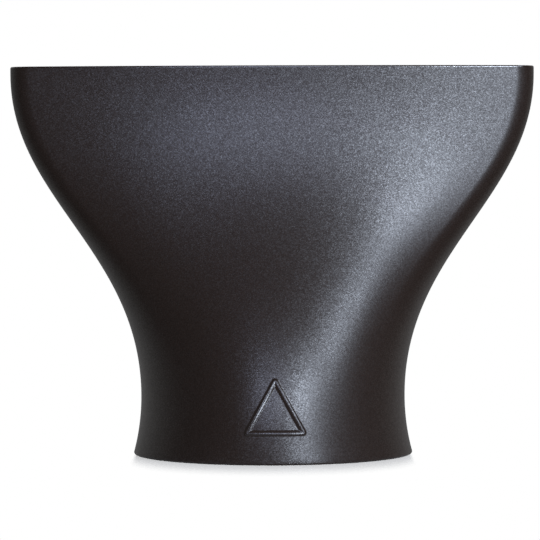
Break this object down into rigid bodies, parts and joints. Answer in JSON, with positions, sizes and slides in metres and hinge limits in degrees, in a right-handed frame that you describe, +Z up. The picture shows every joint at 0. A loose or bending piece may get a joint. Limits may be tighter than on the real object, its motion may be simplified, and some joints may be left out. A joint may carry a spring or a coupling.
{
  "type": "hair dryer concentrator nozzle",
  "caption": "Hollow one-piece nozzle with a round push-on socket that blends into a wide flat slot, to gather a dryer's air into a thin stream.",
  "frame": {"origin": "centre of the round socket's mouth, on the plane of the lip that the nozzle stands on", "axes": "+Z up along the socket's axis, the way the air flows to the slot; +X along the slot; +Y across it, away from the face with the raised mark"},
  "size_m": [0.09, 0.048, 0.0666],
  "materials": {
    "black_plastic": "satin moulded black with a fine sparkling grain"
  },
  "bodies": {
    "root": {"nozzle": "black_plastic"}
  },
  "joints": []
}
